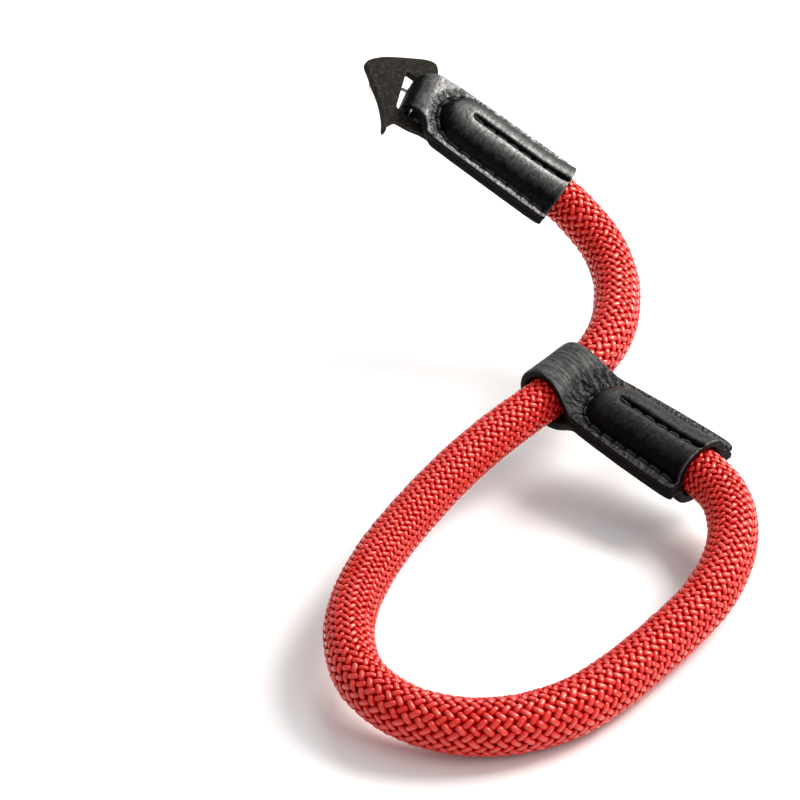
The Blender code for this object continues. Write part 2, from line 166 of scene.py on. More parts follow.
SLIDER_OVER_NECK = (
    (0.23, 0.08, 0.95, 0.95), (0.48, 0.33, 0.76, 0.76), (0.70, 0.66, 0.48, 0.48),
    (0.89, 0.91, 0.20, 0.20),
)

FLAP_OUTLINE = (
    (-0.500, 0.030), (-0.492, 0.074), (-0.459, 0.129), (-0.394, 0.206), (-0.274, 0.305),
    (-0.162, 0.387), (-0.060, 0.459), (0.017, 0.496), (0.077, 0.499), (0.123, 0.459),
    (0.154, 0.407), (0.245, 0.234), (0.347, 0.060), (0.429, -0.083), (0.490, -0.185),
    (0.500, -0.226), (0.480, -0.251), (0.429, -0.251), (0.347, -0.259), (0.266, -0.282),
    (0.184, -0.299), (0.123, -0.305), (0.077, -0.318), (0.047, -0.369), (0.033, -0.420),
    (0.050, -0.469), (0.042, -0.499), (0.017, -0.479), (-0.011, -0.428), (-0.052, -0.369),
    (-0.141, -0.270), (-0.253, -0.175), (-0.350, -0.101), (-0.416, -0.048), (-0.467, -0.010),
)
RING_SIDE = ((0.00, 0.77), (0.03, 0.93), (0.11, 1.00), (0.31, 0.97), (0.52, 0.80), (0.76, 0.50),
             (0.92, 0.22))

# Sizes of what this script adds

# Braid: lanes of short strokes along the rope, which slant to and fro from lane to lane. Reach and
# fill are shares of the lane's step; level is the share of a stroke that runs flat before it dives.
LANES = 24
STROKE_TILT = 1.75
STROKE_REACH = 0.87
STROKE_FILL = 0.71
STROKE_TAPER = 0.16
STROKE_CROWN = 0.00036
STROKE_ROUND = 0.985
STROKE_DIVE = 0.00050
STROKE_LEVEL = 0.40
STROKE_LIFT = 0.00006
STROKE_UNEVEN = 0.00004
FILL_WOBBLE = 0.035
LENGTH_WOBBLE = 0.03
SHADE_WOBBLE = 0.22
STROKE_QUADS = (7, 4)
LANE_PHASES = (0.25, 0.75)
BRAID_HIDDEN = 0.0050
BRAID_SAMPLES = 3000
CORE_SINK = 0.00042
CORE_SIDES = 24
CORE_ROWS = 150
ROPE_ROWS = 420
ROPE_CURVE_STEPS = 24

# How far apart a lane's strokes lie: columns are the share of the rope's length and the step in mm
BRAID_STEPS = (
    (0.10, 2.35), (0.155, 2.50), (0.19, 2.40), (0.225, 2.20), (0.29, 2.08), (0.35, 1.98),
    (0.40, 1.83), (0.45, 1.70), (0.52, 1.66), (0.56, 1.78), (0.61, 1.96), (0.66, 1.90),
    (0.76, 1.98), (0.85, 1.90),
)

# Stitches; a seam runs outside the dome's foot, and the valley's seam ends past the straight part
STITCH_PITCH = 0.0030
STITCH_OUT = 0.00050
SEAM_CLEAR = 0.0006
VALLEY_CLEAR = 0.0004
VALLEY_PAST = 0.0002
HOLE_HALF = 0.00034
VALLEY_HOLE_HALF = 0.00036
DARK_HOLE_HALF = 0.00052
DARK_VALLEY_HOLE_HALF = 0.00045
THREAD_D = 0.00052
THREAD_ROWS = 9
THREAD_SIDES = 8
RAY_START = 0.03

# Bands along a seam or a valley: height, or strength for a material, then middle and half-width
GROOVE = (-0.00030, STITCH_OUT, 0.00036)
HOLES = (-0.00038, STITCH_OUT, HOLE_HALF)
PUCKERS = (0.00012, 0.0013, 0.0005)
DOME_PUCKERS = (0.00007, -0.0007, 0.0006)
CRINKLES = (0.00013, 0.0014, 0.0008)
VALLEY = (-0.00095, 0.0, 0.00052)
VALLEY_SLOPE = (-0.00030, 0.0, 0.0013)
VALLEY_HOLES = (-0.00040, 0.0, 0.00042)
UNDER_VALLEY = (-0.00012, 0.0, 0.0004)
UNDER_HOLES = (-0.00030, 0.0, 0.0004)
EDGE_WEAR = (0.35, 0.0, 0.00022)
SEAM_WEAR = (0.15, 0.0013, 0.0004)
# Painted sheen: a light band on the flange and on one lip of the valley
FLANGE_SHEEN = (1.0, 0.0015, 0.0009)
VALLEY_LIP_SHEEN = (0.8, -0.0011, 0.0004)
# Painted shade in the seam's groove, its holes and the sewn valley
SEAM_PIT = (1.0, STITCH_OUT, 0.0005)
VALLEY_PIT = (1.0, 0.0, 0.0005)

# Creases at the root, soft waves, and cut edges
CREASE_RUN = 0.0125
CREASE_TURN = 0.00062
CREASE_END = 0.014375
CREASE_START = 0.0002
CREASE_FULL = 0.0006
UNDER_CREASES = 0.3
COARSE_WAVE = 0.00007
COARSE_SCALE = 240.0
FINE_WAVE = 0.000025
FINE_SCALE = 900.0
EDGE_ROUND = 0.00026
EDGE_BULGE = 0.00010
EDGE_ROUGH = 0.00004
EDGE_ROUGH_SCALE = 1500.0
RIM_SHARES = (0.25, 0.5, 0.75)
END_BULGE = 0.00008

# Where relief and the materials' values fade in or out, and over what length
SLEEVE_FADE = 0.002
RELIEF_FADE = 0.0004
VALLEY_FADE = 0.0007
MOUTH_LEAD = 0.0022
MOUTH_FADE = 0.004
FLANGE_SHEEN_START = 0.007
STREAK_START = 0.0002
STREAK_FADE = 0.0012
STREAK_END = 0.015
STREAK_RUN = 0.012
PIT_START = 0.004
PIT_FADE = 0.0005
POLISH_START = 0.72
POLISH_FADE = 0.22

# The leather's grid: columns as shares of the dome's half and of the flange, rows along the strip
COLUMNS = (0.0, 0.02, 0.04, 0.06, 0.085, 0.11, 0.14, 0.18, 0.23, 0.30, 0.38, 0.46, 0.54, 0.62,
           0.70, 0.77, 0.83, 0.88, 0.92, 0.95, 0.975, 0.99, 1.0)
FLANGE_COLUMNS = (0.08, 0.16, 0.24, 0.32, 0.40, 0.48, 0.56, 0.64, 0.72, 0.80, 0.86, 0.91, 0.95,
                  0.98, 1.0)
STATION_STEP = 0.00034
FINE_STEP = 0.00008
SMOOTH_REACH = 18
SMOOTH_SPREAD = 5.5
END_STEPS = (0.0, 0.00005, 0.00012, 0.00022)
END_CLEAR = 0.00042
FACING_ROW = -40

# Ring and flap
RING_SIDES = 20
FLAP_EDGE = 0.00022

# The camera's place, and which way is down as it sees it (right, down, forward)
EYE_AT = (0.003352, -0.442216, 0.173056)
DOWN_SEEN = (0.02816, 0.87162, 0.48938)
LENS = 101.7

# Floor and light
FLOOR_GAP = 0.0001
FLOOR_HALF = 6.0
LIT_MIDDLE = (0.03, -0.08, -0.04)
SKY_STRENGTH = 0.44

# A tab in its own axes: x runs along it from its loop to the mouth, z out of its face
Tab = namedtuple("Tab", "reach mouth root loop rise radius squash start under over puff skew shift lean")


# Shared helpers

def tab_axes(along, face):
    """A tab's axes: x along it, z as near to its face's way as that allows."""
    x = Vector(along).normalized()
    z = Vector(face)
    z = (z - x * z.dot(x)).normalized()
    return Matrix((x, z.cross(x), z)).transposed().to_4x4()


def smooth_curve(points, steps, closed=False):
    """Points on a smooth curve through the given ones, `steps` to each span."""
    given = np.array(points, dtype=float)
    if closed:
        given = np.vstack((given[-1], given, given[:2]))
    else:
        given = np.vstack((2 * given[0] - given[1], given, 2 * given[-1] - given[-2]))
    curve = []
    for before, start, end, after in zip(given, given[1:], given[2:], given[3:]):
        span = np.linalg.norm(end - start)
        leave = (end - before) * span / (span + np.linalg.norm(start - before))
        arrive = (after - start) * span / (span + np.linalg.norm(after - end))
        for t in np.arange(steps) / steps:
            curve.append((1 - 3 * t**2 + 2 * t**3) * start + (t - 2 * t**2 + t**3) * leave
                         + (3 * t**2 - 2 * t**3) * end + (t**3 - t**2) * arrive)
    if not closed:
        curve.append(given[-2])
    return np.array(curve)


def unit(vectors):
    return vectors / np.linalg.norm(vectors, axis=-1, keepdims=True)


def run_along(points):
    """How far along a polyline each of its points lies."""
    steps = np.linalg.norm(np.diff(points, axis=0), axis=1)
    return np.concatenate(([0.0], np.cumsum(steps)))


def add_object(name, data, placed=None):
    made = bpy.data.objects.new(name, data)
    if placed is not None:
        made.matrix_world = placed
    bpy.context.scene.collection.objects.link(made)
    return made


def mesh_object(name, verts, faces, slots, face_slots=None, values=None, placed=None):
    """A smooth-shaded mesh piece, with named per-point values for its materials."""
    data = bpy.data.meshes.new(name)
    data.from_pydata([tuple(v) for v in verts], [], [tuple(int(i) for i in f) for f in faces])
    for slot in slots:
        data.materials.append(slot)
    if face_slots is not None:
        data.polygons.foreach_set("material_index", np.asarray(face_slots, dtype=np.int32))
    for key, column in (values or {}).items():
        made = data.attributes.new(key, "FLOAT", "POINT")
        made.data.foreach_set("value", np.asarray(column, dtype=np.float32))
    data.shade_smooth()
    data.update()
    return add_object(name, data, placed)


def grid_faces(rows, columns, offset=0, closed=False):
    """Quads of a grid of points, row by row; closed joins the last column to the first."""
    i = np.arange(rows - 1)[:, None]
    j = np.arange(columns if closed else columns - 1)[None, :]
    k = (j + 1) % columns
    a, b = i * columns + j, i * columns + k
    c, d = a + columns, b + columns
    return (np.stack((a, b, d, c), axis=-1).reshape(-1, 4) + offset).tolist()


def tube_faces(rows, sides, offset=0):
    """A tube's faces, with one more to close each end."""
    first = offset + np.arange(sides)
    last = first + (rows - 1) * sides
    return grid_faces(rows, sides, offset, closed=True) + [first[::-1].tolist(), last.tolist()]


def sampled(at, known, rows):
    """What the columns of rows hold at some places, where known are the rows' own places."""
    return np.stack([np.interp(at, known, column) for column in rows.T], axis=-1)


def frames_along(points):
    """Two unit normals that don't twist, along a polyline."""
    tangents = unit(np.gradient(points, axis=0))
    sides = [unit(np.cross(tangents[0], (0.0, 0.0, 1.0)))]
    for tangent in tangents[1:]:
        side = sides[-1]
        sides.append(unit(side - tangent * side.dot(tangent)))
    return np.array(sides), np.cross(tangents, sides)


def round_path(points, radius, side, up, sides):
    """Rings of points round a path, one after another."""
    angles = 2 * math.pi * np.arange(sides) / sides
    around = np.cos(angles)[:, None] * side[:, None] + np.sin(angles)[:, None] * up[:, None]
    return (points[:, None] + np.reshape(radius, (-1, 1, 1)) * around).reshape(-1, 3)


def clean_mesh(piece):
    """Drops points that no face uses and turns all faces outward."""
    mesh = bmesh.new()
    mesh.from_mesh(piece.data)
    loose = [v for v in mesh.verts if not v.link_faces]
    bmesh.ops.delete(mesh, geom=loose, context="VERTS")
    bmesh.ops.recalc_face_normals(mesh, faces=mesh.faces)
    mesh.to_mesh(piece.data)
    mesh.free()


# Node materials

# A Mix node has a pair of sockets for each kind of value: these are the ones for colours
MIX_COLOR_A, MIX_COLOR_B, MIX_COLOR_OUT = 6, 7, 2


def opaque(color):
    """A colour socket's value, from three numbers, or from one for a grey."""
    return (*color, 1.0) if isinstance(color, tuple) else (color, color, color, 1.0)


class Look:
    """A material and short ways to add nodes to it."""

    def __init__(self, name, color, roughness, **sockets):
        self.material = bpy.data.materials.new(name)
        self.material.use_nodes = True
        self.tree = self.material.node_tree
        self.shader = self.tree.nodes["Principled BSDF"]
        self.set(Base_Color=color, Roughness=roughness, **sockets)

    def set(self, **sockets):
        for key, value in sockets.items():
            self.feed(self.shader.inputs[key.replace("_", " ")], value)

    def feed(self, socket, value):
        if hasattr(value, "is_output"):
            self.tree.links.new(value, socket)
        else:
            socket.default_value = opaque(value) if socket.type == "RGBA" else value

    def add(self, kind, inputs=None, **props):
        made = self.tree.nodes.new("ShaderNode" + kind)
        for key, value in props.items():
            setattr(made, key, value)
        for key, value in (inputs or {}).items():
            self.feed(made.inputs[key], value)
        return made

    def value(self, name):
        return self.add("Attribute", attribute_name=name).outputs["Fac"]

    def local(self):
        return self.add("TexCoord").outputs["Object"]

    def noise(self, scale, detail=4.0, roughness=0.55, at=None):
        made = self.add("TexNoise", {"Vector": at or self.local(), "Scale": scale,
                                     "Detail": detail, "Roughness": roughness})
        return made.outputs["Fac"]

    def stretched(self, scale, detail=4.0, roughness=0.6, turn=(0.0, 0.0, 0.0)):
        """Noise with its own scale along each axis."""
        at = self.add("Mapping", {"Vector": self.local(), "Rotation": turn, "Scale": scale})
        return self.noise(1.0, detail, roughness, at.outputs["Vector"])

    def math(self, operation, a, b=0.0, c=0.0):
        made = self.add("Math", operation=operation)
        for socket, value in zip(made.inputs, (a, b, c)):
            self.feed(socket, value)
        return made.outputs[0]

    def times(self, a, b):
        return self.math("MULTIPLY", a, b)

    def blend(self, a, a_share, b, b_share=1.0):
        """Each value times its share, added up."""
        return self.math("MULTIPLY_ADD", a, a_share, b if b_share == 1.0 else self.times(b, b_share))

    def span(self, source, low, high, to_low=0.0, to_high=1.0):
        return self.add("MapRange", {"Value": source, "From Min": low, "From Max": high,
                                     "To Min": to_low, "To Max": to_high}).outputs["Result"]

    def ramp(self, source, *stops):
        made = self.add("ValToRGB", {"Fac": source})
        band = made.color_ramp
        while len(band.elements) < len(stops):
            band.elements.new(0.5)
        for element, (at, color) in zip(band.elements, stops):
            element.position = at
            element.color = opaque(color)
        return made.outputs["Color"]

    def mix(self, share, a, b):
        made = self.add("Mix", {"Factor": share}, data_type="RGBA")
        self.feed(made.inputs[MIX_COLOR_A], a)
        self.feed(made.inputs[MIX_COLOR_B], b)
        return made.outputs[MIX_COLOR_OUT]

    def bump(self, height, distance, strength=1.0, normal=None):
        made = self.add("Bump", {"Height": height, "Distance": distance, "Strength": strength})
        if normal is not None:
            self.feed(made.inputs["Normal"], normal)
        return made.outputs["Normal"]


def rope_look():
    """Dyed red yarn, glossy on the crowns, its colour darkened in the pits as painted shade."""
    look = Look("red_rope", (0.62, 0.02, 0.012), 0.36, IOR=2.1, Specular_Tint=(1.0, 0.72, 0.50))
    rise, along, across = look.value("rise"), look.value("along"), look.value("across")
    # Painted shade and light: the base colour runs from a bright red on the lit crowns to a deep red in
    # the pits, and the core, seen only in the pits, takes the deepest red.
    lit = look.math("ADD", rise, look.span(look.noise(1300.0, 3.0), 0.35, 0.65, -0.10, 0.16))
    depth = look.ramp(lit, (0.0, (0.190, 0.0002, 0.0006)), (0.35, (0.325, 0.0005, 0.0013)),
                      (0.70, (0.480, 0.0013, 0.0019)), (1.0, (0.630, 0.006, 0.006)))
    mottle = look.math("ADD", look.value("shade"), look.noise(900.0, 3.0))
    toned = look.mix(look.span(mottle, 0.5, 1.6, 0.0, 0.35), depth, (0.80, 0.045, 0.034))
    # Fine filaments that run along each stroke, a little twisted
    turned = look.blend(along, 1.6, across, 24.0)
    wander = look.times(look.noise(1400.0, 2.0), 4.0)
    fibres = look.math("SINE", look.math("ADD", turned, wander))
    height = look.blend(look.noise(7000.0, 2.0), 0.5, fibres, 0.5)
    look.set(Base_Color=toned, Specular_IOR_Level=look.span(rise, 0.62, 0.98, 0.0, 0.30),
             Roughness=look.span(look.noise(2500.0, 2.0), 0.3, 0.7, 0.30, 0.42),
             Coat_Weight=look.span(rise, 0.76, 0.99, 0.0, 0.75), Coat_Roughness=0.20, Coat_IOR=1.8,
             Normal=look.bump(height, 0.00004, 0.7))
    return look.material


def leather_look(name, creased):
    """Grained leather: polished where it faces out, creased and crinkled beside the stitches; its colour
    holds painted sheen, painted highlights on crease ridges and painted shade in the stitch pits.
    """
    look = Look(name, 0.007, 0.42, IOR=1.8)
    around, outside = look.value("around"), look.value("outside")
    polish, pit = look.value("polish"), look.value("pit")
    tone = look.ramp(look.noise(180.0), (0.30, 0.0022), (0.70, (0.0065, 0.0062, 0.0060)))
    hairs = look.stretched((2600.0, 420.0, 900.0))
    pebbles = look.blend(hairs, 0.5, look.noise(1700.0, 4.0, 0.65), 0.5)
    cells = look.add("TexVoronoi", {"Vector": look.local(), "Scale": 2300.0}).outputs["Distance"]
    grain = look.blend(pebbles, 0.9, look.blend(cells, 0.5, look.noise(5200.0, 3.0, 0.6), 0.4))
    # Creases run out from the stitch line; around and outside are in mm
    wander = look.times(look.noise(520.0, 3.0), 9.0)
    folds = look.math("ABSOLUTE", look.math("SINE", look.blend(around, 2.4, wander)))
    band = look.times(look.span(outside, 0.25, 0.7),
                      look.span(outside, 1.2, 5.0 if creased else 3.0, 1.0, 0.0))
    band = look.times(band, look.span(look.math("ABSOLUTE", around), 7.0, 13.0, 1.0,
                                      0.25 if creased else 0.6))
    ridges = look.times(folds, band)
    normal = look.bump(ridges, 0.0017 if creased else 0.0006)
    if creased:
        lines = look.stretched((260.0, 2400.0, 420.0), 5.0, 0.7, (0.0, 0.0, math.radians(-24)))
        zone = look.value("streak")
        shown = look.times(zone, look.span(lines, 0.42, 0.62))
        tone = look.mix(look.times(shown, 0.8), tone, (0.105, 0.105, 0.102))
        normal = look.bump(look.times(lines, zone), 0.00022, 0.9, normal)
        # Painted highlight: the crease ridges are lighter grey, as if light caught their slopes.
        tone = look.mix(look.times(ridges, 0.55), tone, (0.10, 0.10, 0.097))
    # Painted sheen on the flange and the valley's lip, with real wear on the cut edges and beside the
    # seam: both turn the leather light grey.
    wear_and_sheen_share = look.times(look.value("wear_and_sheen"), look.span(look.noise(1500.0, 3.0), 0.30, 0.58))
    tone = look.mix(look.times(wear_and_sheen_share, 0.85), tone, (0.46, 0.455, 0.445))
    # Painted shade: near black in the stitch holes, the seam's groove and the valley
    tone = look.mix(pit, tone, 0.0015)
    shine = look.times(look.span(polish, 0.0, 1.0, 0.08, 0.45 if creased else 1.0),
                       look.span(pebbles, 0.38, 0.62, 0.30, 1.0))
    shine = look.times(shine, look.span(pit, 0.0, 1.0, 1.0, 0.0))
    look.set(Base_Color=tone, Roughness=look.span(look.noise(700.0, 3.0), 0.3, 0.7, 0.42, 0.56),
             Specular_IOR_Level=shine, Normal=look.bump(grain, 0.00009, 0.7, normal))
    return look.material


def edge_look():
    """A cut edge: dull, in layers along the sheet."""
    look = Look("leather_cut_edge", 0.008, 0.6, Specular_IOR_Level=0.12)
    layers = look.stretched((500.0, 500.0, 3800.0))
    fibres = look.noise(3600.0, 3.0)
    look.set(Base_Color=look.ramp(layers, (0.35, 0.003), (0.70, (0.014, 0.0135, 0.013))),
             Roughness=look.span(fibres, 0.3, 0.7, 0.45, 0.7),
             Normal=look.bump(look.blend(layers, 0.7, fibres, 0.5), 0.00012, 0.6))
    return look.material


def flesh_look():
    """The leather's inner side: matte, with short fibres."""
    look = Look("leather_flesh_side", (0.014, 0.013, 0.012), 0.85)
    nap = look.noise(2600.0, 5.0, 0.7)
    tone = look.ramp(nap, (0.35, (0.008, 0.007, 0.007)), (0.70, (0.034, 0.031, 0.029)))
    look.set(Base_Color=tone, Normal=look.bump(nap, 0.00012, 0.6))
    return look.material


def suede_look():
    """Suede: matte, with a patchy nap."""
    look = Look("dark_suede", (0.030, 0.026, 0.022), 0.95, Specular_IOR_Level=0.25,
                Sheen_Weight=0.12, Sheen_Roughness=0.6, Sheen_Tint=(0.8, 0.72, 0.62))
    nap = look.blend(look.noise(3400.0, 4.0, 0.7), 0.45, look.noise(1100.0, 5.0, 0.7), 0.55)
    tone = look.ramp(nap, (0.38, (0.003, 0.0027, 0.0024)), (0.50, (0.013, 0.011, 0.009)),
                     (0.62, (0.048, 0.041, 0.034)))
    look.set(Base_Color=tone, Normal=look.bump(nap, 0.00040, 0.9))
    return look.material


def thread_look():
    """Waxed thread: plies that wind round it."""
    look = Look("black_thread", (0.010, 0.010, 0.011), 0.45, Sheen_Weight=0.2)
    plies = look.math("SINE", look.blend(look.value("along"), 26.0,
                                         look.value("across"), 2 * math.pi))
    tone = look.mix(look.span(plies, -1.0, 1.0), 0.003, (0.014, 0.014, 0.013))
    look.set(Base_Color=tone, Normal=look.bump(plies, 0.00008, 0.8))
    return look.material


def metal_look():
    """Drawn wire: fine lines along it."""
    look = Look("ring_steel", (0.62, 0.62, 0.63), 0.26, Metallic=1.0)
    drawn = look.stretched((900.0, 5200.0, 5200.0))
    tone = look.ramp(look.noise(2400.0, 3.0), (0.30, (0.52, 0.52, 0.53)), (0.70, (0.68, 0.68, 0.69)))
    look.set(Base_Color=tone, Roughness=look.span(drawn, 0.3, 0.7, 0.18, 0.36),
             Normal=look.bump(drawn, 0.00002, 0.4))
    return look.material


def floor_look():
    look = Look("pale_floor", 0.88, 0.55)
    look.set(Base_Color=look.ramp(look.noise(6.0, 3.0), (0.3, (0.875, 0.875, 0.878)),
                                  (0.7, (0.890, 0.889, 0.888))),
             Roughness=look.span(look.noise(30.0, 3.0), 0.3, 0.7, 0.5, 0.62))
    return look.material


# Camera, light and floor

def add_camera():
    """The camera at the photo's angle. The rows of axes are the world's axes as it sees them."""
    down = Vector(DOWN_SEEN).normalized()
    ahead = (Vector((0.0, 0.0, 1.0)) - down * down.z).normalized()
    up = -down
    right = ahead.cross(up)
    axes = Matrix((right, ahead, up))
    turned = axes @ Matrix.Diagonal((1.0, -1.0, -1.0))
    data = bpy.data.cameras.new("camera")
    data.lens = LENS
    data.sensor_width = 36.0
    data.clip_start = 0.01
    data.clip_end = 50.0
    placed = Matrix.Translation(EYE_AT) @ turned.to_4x4()
    bpy.context.scene.camera = add_object("camera", data, placed)


def add_light(name, toward, distance, size, power, color=(1.0, 1.0, 1.0), mirrored=True):
    """A square soft light, at a distance from the part in a direction, facing it."""
    data = bpy.data.lights.new(name, "AREA")
    data.shape = "SQUARE"
    data.size = size
    data.energy = power
    data.color = color
    way = Vector(toward).normalized()
    at = Vector(LIT_MIDDLE) + way * distance
    turned = way.to_track_quat("Z", "Y").to_matrix().to_4x4()
    made = add_object(name, data, Matrix.Translation(at) @ turned)
    made.visible_glossy = mirrored


def add_studio():
    scene = bpy.context.scene
    world = bpy.data.worlds.new("studio")
    world.use_nodes = True
    sky = world.node_tree.nodes["Background"]
    sky.inputs["Color"].default_value = (1.0, 1.0, 1.0, 1.0)
    sky.inputs["Strength"].default_value = SKY_STRENGTH
    scene.world = world
    scene.view_settings.view_transform = "Standard"
    scene.view_settings.look = "Medium High Contrast"
    add_light("key", toward=(0.671, 0.226, 0.706), distance=0.9, size=0.44, power=8.3,
              color=(1.0, 0.97, 0.93))
    add_light("fill", toward=(0.50, -0.60, 0.62), distance=1.3, size=1.2, power=5.6, mirrored=False)
    add_light("back", toward=(0.05, 0.72, 0.68), distance=1.3, size=0.40, power=2.8)
    low = cad_box[0][2] - FLOOR_GAP
    size = FLOOR_HALF
    corners = [(-size, -size, low), (size, -size, low), (size, size, low), (-size, size, low)]
    floor = mesh_object("floor", corners, [(0, 1, 2, 3)], [floor_look()])


# Leather strips

def sleeve_sizes(flare, top):
    """Half-width and height of the room in a dome, from the sewn part (0.0) to the mouth (1.0)."""
    sewn = SEWN_ROPE_D / 2
    free = MOUTH_SWELL * ROPE_D / 2
    lift = ROPE_LIFT if top else -ROPE_LIFT
    ease, mouth_ease = (TOP_EASE, MOUTH_TOP_EASE) if top else (UNDER_EASE, MOUTH_UNDER_EASE)
    half = sewn + SIDE_EASE + flare * (free + MOUTH_SIDE_EASE - sewn - SIDE_EASE)
    height = sewn + lift + ease + flare * (free + mouth_ease - sewn - ease)
    return half, height


def sleeve_run(tab, top):
    """How long the sleeve is straight, and how far its round end reaches past that."""
    round_end = sleeve_sizes(0.0, True)[0] + PUFF_WALL
    return tab.puff - round_end, round_end if top else UNDER_END


def flare_at(inset, tab):
    """How wide a sleeve still opens, some way in from its mouth."""
    shares, flares, _ = np.array(SLEEVE_ROWS).T
    return np.interp(inset, shares * sleeve_run(tab, True)[0], flares)


def valley_end(tab):
    """How far in from the mouth the sewn valley on a dome ends."""
    return sleeve_run(tab, True)[0] + VALLEY_PAST


def sleeve_stations(tab, top):
    """Rows of x, z, half-width, flare, puff, slant, top for one layer of the sleeve."""
    layer = (LEATHER + FIT) / 2
    z = tab.rise + (layer if top else -layer)
    straight, end = sleeve_run(tab, top)
    rows = [(share * straight, flare, width, 1.0) for share, flare, width in SLEEVE_ROWS]
    for degrees in ROUND_END_DEGREES:
        angle = math.radians(degrees)
        rows.append((straight + end * math.sin(angle), 0.0, 1.0, math.cos(angle)))
    made = []
    for inset, flare, width, puff in rows:
        narrowing = (tab.mouth - tab.root) * (inset / tab.puff) ** 2
        half = width * (tab.mouth - narrowing) / 2
        made.append((tab.reach - inset, z, half, flare, puff, 0.0, float(top)))
    return made


def neck_stations(tab, rows, loop_end, sleeve_end, top):
    """The same rows for a layer between the loop and the sleeve."""
    made = []
    for run, rise, narrow, slant in rows:
        x = loop_end[0] + run * (sleeve_end[0] - loop_end[0])
        z = loop_end[1] + rise * (sleeve_end[1] - loop_end[1])
        half = (tab.root + narrow * (tab.loop - tab.root)) / 2
        made.append((x, z, half, 0.0, 0.0, slant, float(top)))
    return made


def loop_stations(tab):
    """The same rows round the loop, from the under layer to the top one."""
    steps = max(6, round(math.pi * tab.radius / LOOP_STEP)) * 3
    made = []
    for step in range(steps + 1):
        angle = math.radians(tab.start) - math.pi * step / steps
        lower = tab.squash if math.sin(angle) < 0.0 else 1.0
        made.append((tab.radius * math.cos(angle), tab.radius * lower * math.sin(angle),
                     tab.loop / 2, 0.0, 0.0, 1.0, step / steps))
    return made


def smoothed(column):
    """A running mean with a bell's weights; past its ends the column goes on as it came."""
    reach = SMOOTH_REACH
    weights = np.exp(-0.5 * (np.arange(-reach, reach + 1) / SMOOTH_SPREAD) ** 2)
    first = 2 * column[0] - column[reach:0:-1]
    last = 2 * column[-1] - column[-2:-reach - 2:-1]
    return np.convolve(np.concatenate((first, column, last)), weights / weights.sum(), "valid")


def strip_stations(tab):
    """The strip's rows, close together and smoothed, and the run along it."""
    under, over, loop = sleeve_stations(tab, False), sleeve_stations(tab, True), loop_stations(tab)
    under_neck = neck_stations(tab, tab.under, loop[0], under[-1], False)
    over_neck = neck_stations(tab, tab.over, loop[-1], over[-1], True)
    rows = np.array(under + under_neck[::-1] + loop + over_neck + over[::-1])
    run = run_along(rows[:, :2])
    total = run[-1]
    fine = np.linspace(0.0, total, int(total / FINE_STEP))
    dense = np.column_stack([smoothed(column) for column in sampled(fine, run, rows).T])
    ends = np.array(END_STEPS)
    middle = np.linspace(END_CLEAR, total - END_CLEAR, int(total / STATION_STEP))
    wanted = np.concatenate((ends, middle, total - ends[::-1]))
    return sampled(wanted, fine, dense), wanted


def seam_plane(tab, x, y, flare, top):
    """How far a point lies outside the dome's foot, and its run round the U from the root."""
    inset = tab.reach - x
    straight, end = sleeve_run(tab, top)
    foot = sleeve_sizes(flare, top)[0] + PUFF_WALL
    past = np.maximum(inset - straight, 0.0) * foot / end
    beside = np.abs(y)
    bend = (foot + end) / 2 + STITCH_OUT
    run = np.where(inset > straight, np.arctan2(beside, past) * bend,
                   bend * math.pi / 2 + straight - inset)
    return np.hypot(past, beside) - foot, run


def bell(value, middle, half):
    return np.exp(-((value - middle) / half) ** 2)


def band(value, shape):
    """How high one of the bands named above is at a value across it."""
    height, middle, half = shape
    return height * bell(value, middle, half)


def fade(value, length):
    """0.0 up to zero and 1.0 from a length on, straight between them."""
    return np.clip(value / length, 0.0, 1.0)


def holes(run, half):
    """1.0 at each hole of a seam, and less away from it."""
    phase = run / STITCH_PITCH
    return bell((phase - np.round(phase)) * STITCH_PITCH, 0.0, half)


def wrinkles(points, scale, seed):
    """Smooth noise at each point."""
    shift = Vector((seed, 2.7 * seed, -seed))
    found = [noise.noise(Vector(p) * scale + shift) for p in points.reshape(-1, 3)]
    return np.reshape(found, points.shape[:-1])


def leather_relief(tab, rows, grid, left, creases, seed):
    """Height added to the outer side: stitch lines, holes, puckers, creases and soft waves."""
    x, y = grid[..., 0], grid[..., 1]
    flare, top = rows[:, 3:4], rows[:, 6:7] > 0.5
    inset = tab.reach - x
    past = valley_end(tab) - inset
    hole = holes(past, VALLEY_HOLE_HALF)
    sleeve = fade(x - tab.radius * 0.6, SLEEVE_FADE)
    coarse = wrinkles(grid, COARSE_SCALE, seed)
    fine = wrinkles(grid, FINE_SCALE, seed + 3.1)
    relief = COARSE_WAVE * coarse + FINE_WAVE * fine
    crease_height, crease_reach = creases
    for layer in (False, True):
        out, run = seam_plane(tab, x, y, flare, layer)
        swing = np.cos(2 * math.pi * (run / STITCH_PITCH + 0.5))
        added = band(out, GROOVE) + band(out, HOLES) * holes(run, HOLE_HALF)
        added += (band(out, PUCKERS) + band(out, DOME_PUCKERS)) * swing
        added += band(out, CRINKLES) * fine
        # Creases that fan out from the root of the dome
        root = fade(CREASE_END - run, CREASE_RUN)
        fan = np.sin(run / CREASE_TURN + 3.2 * coarse + 1.3 * np.sign(y)) * (0.6 + 0.8 * fine)
        reach = np.exp(-np.maximum(out - CREASE_FULL, 0.0) / crease_reach) * (out > CREASE_START)
        added += crease_height * (1.0 if layer else UNDER_CREASES) * root * fan * reach
        # The sewn valley along the dome's middle
        if layer:
            cut = band(y, VALLEY) + band(y, VALLEY_SLOPE) + band(y, VALLEY_HOLES) * hole
            cut *= fade(past, VALLEY_FADE) * fade(inset + MOUTH_LEAD, MOUTH_FADE)
            added += cut * (1.0 + 0.25 * fine)
        else:
            cut = band(y, UNDER_VALLEY) + band(y, UNDER_HOLES) * hole
            added += cut * fade(past, STITCH_PITCH / 4)
        relief += sleeve * (top == layer) * added
    return relief * fade(left, RELIEF_FADE)


